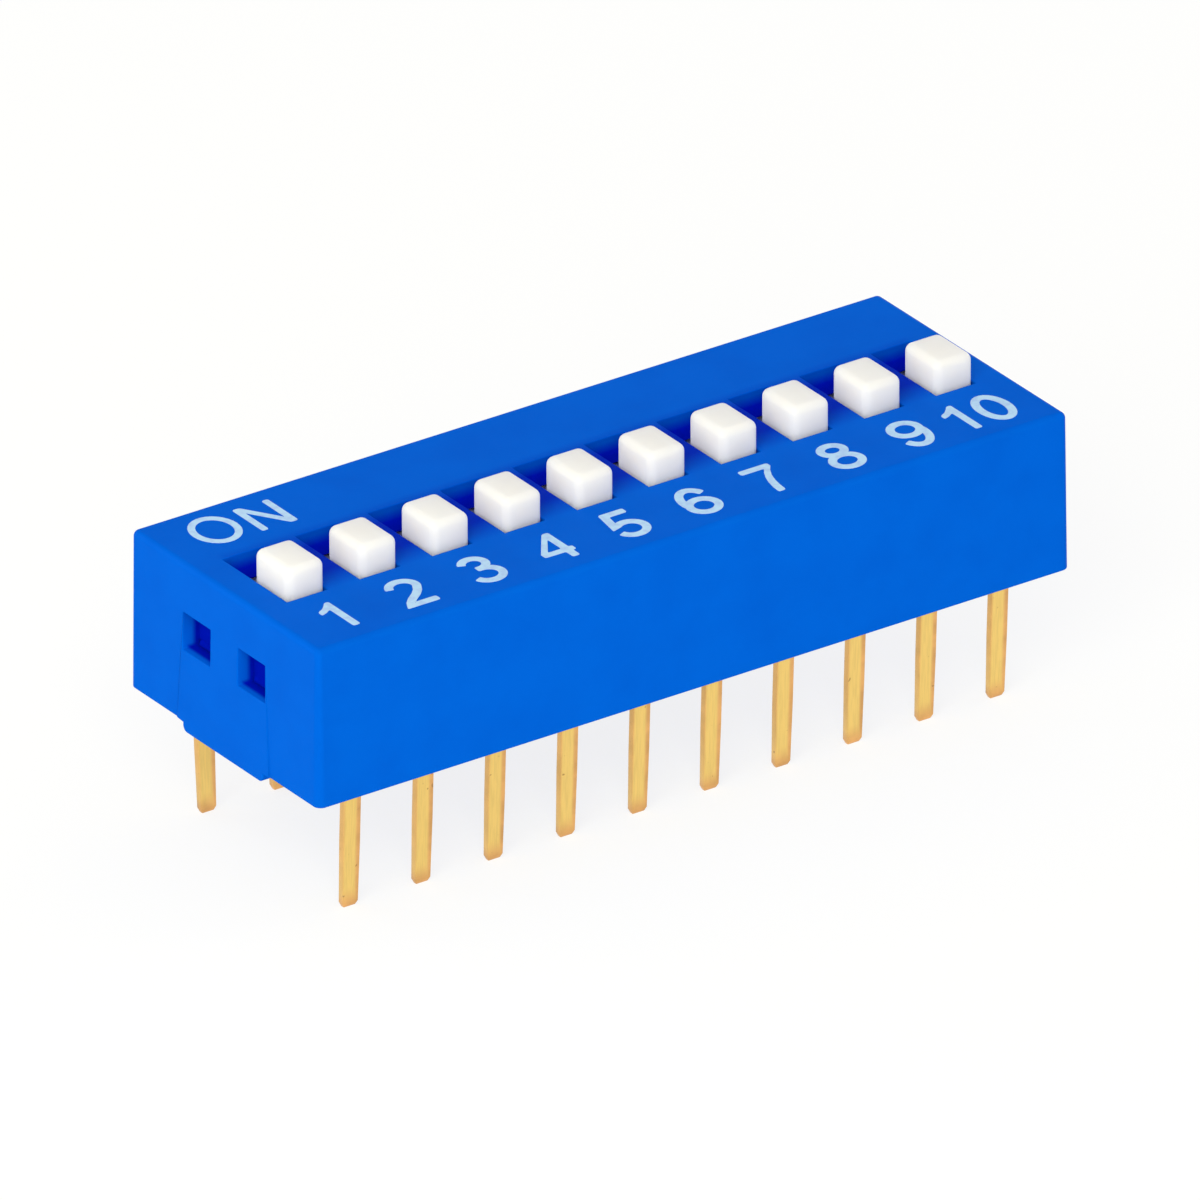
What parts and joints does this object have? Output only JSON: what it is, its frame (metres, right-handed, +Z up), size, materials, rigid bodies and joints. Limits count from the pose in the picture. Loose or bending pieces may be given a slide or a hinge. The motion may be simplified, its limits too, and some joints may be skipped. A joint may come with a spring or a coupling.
{
  "type": "dip switch",
  "caption": "Slide DIP switch for through-hole boards: a blue latched package with a row of white sliding actuators, bridging contacts inside and two rows of gold pins.",
  "frame": {"origin": "centre of the package on the board's surface, which its standoffs rest on", "axes": "+X along the row of poles, away from pole 1; +Y towards the ON side; +Z up, away from the board"},
  "size_m": [0.0266, 0.0096, 0.0101],
  "materials": {
    "cover": "satin",
    "base": "satin",
    "actuators": "satin",
    "contacts": "polished",
    "terminals": "satin"
  },
  "bodies": {
    "housing": {"cover": "cover", "base": "base", "terminal_front_1": "terminals", "terminal_front_2": "terminals", "terminal_front_3": "terminals", "terminal_front_4": "terminals", "terminal_front_5": "terminals", "terminal_front_6": "terminals", "terminal_front_7": "terminals", "terminal_front_8": "terminals", "terminal_front_9": "terminals", "terminal_front_10": "terminals", "terminal_back_1": "terminals", "terminal_back_2": "terminals", "terminal_back_3": "terminals", "terminal_back_4": "terminals", "terminal_back_5": "terminals", "terminal_back_6": "terminals", "terminal_back_7": "terminals", "terminal_back_8": "terminals", "terminal_back_9": "terminals", "terminal_back_10": "terminals"},
    "slider_1": {"actuator_1": "actuators", "contact_1": "contacts"},
    "slider_2": {"actuator_2": "actuators", "contact_2": "contacts"},
    "slider_3": {"actuator_3": "actuators", "contact_3": "contacts"},
    "slider_4": {"actuator_4": "actuators", "contact_4": "contacts"},
    "slider_5": {"actuator_5": "actuators", "contact_5": "contacts"},
    "slider_6": {"actuator_6": "actuators", "contact_6": "contacts"},
    "slider_7": {"actuator_7": "actuators", "contact_7": "contacts"},
    "slider_8": {"actuator_8": "actuators", "contact_8": "contacts"},
    "slider_9": {"actuator_9": "actuators", "contact_9": "contacts"},
    "slider_10": {"actuator_10": "actuators", "contact_10": "contacts"}
  },
  "joints": [
    {"name": "slide_1", "type": "slide", "parent": "housing", "child": "slider_1", "axis": [0, 1, 0], "range_m": [0, 0.00149]},
    {"name": "slide_2", "type": "slide", "parent": "housing", "child": "slider_2", "axis": [0, 1, 0], "range_m": [0, 0.00149]},
    {"name": "slide_3", "type": "slide", "parent": "housing", "child": "slider_3", "axis": [0, 1, 0], "range_m": [0, 0.00149]},
    {"name": "slide_4", "type": "slide", "parent": "housing", "child": "slider_4", "axis": [0, 1, 0], "range_m": [0, 0.00149]},
    {"name": "slide_5", "type": "slide", "parent": "housing", "child": "slider_5", "axis": [0, 1, 0], "range_m": [0, 0.00149]},
    {"name": "slide_6", "type": "slide", "parent": "housing", "child": "slider_6", "axis": [0, 1, 0], "range_m": [0, 0.00149]},
    {"name": "slide_7", "type": "slide", "parent": "housing", "child": "slider_7", "axis": [0, 1, 0], "range_m": [0, 0.00149]},
    {"name": "slide_8", "type": "slide", "parent": "housing", "child": "slider_8", "axis": [0, 1, 0], "range_m": [0, 0.00149]},
    {"name": "slide_9", "type": "slide", "parent": "housing", "child": "slider_9", "axis": [0, 1, 0], "range_m": [0, 0.00149]},
    {"name": "slide_10", "type": "slide", "parent": "housing", "child": "slider_10", "axis": [0, 1, 0], "range_m": [0, 0.00149]}
  ]
}
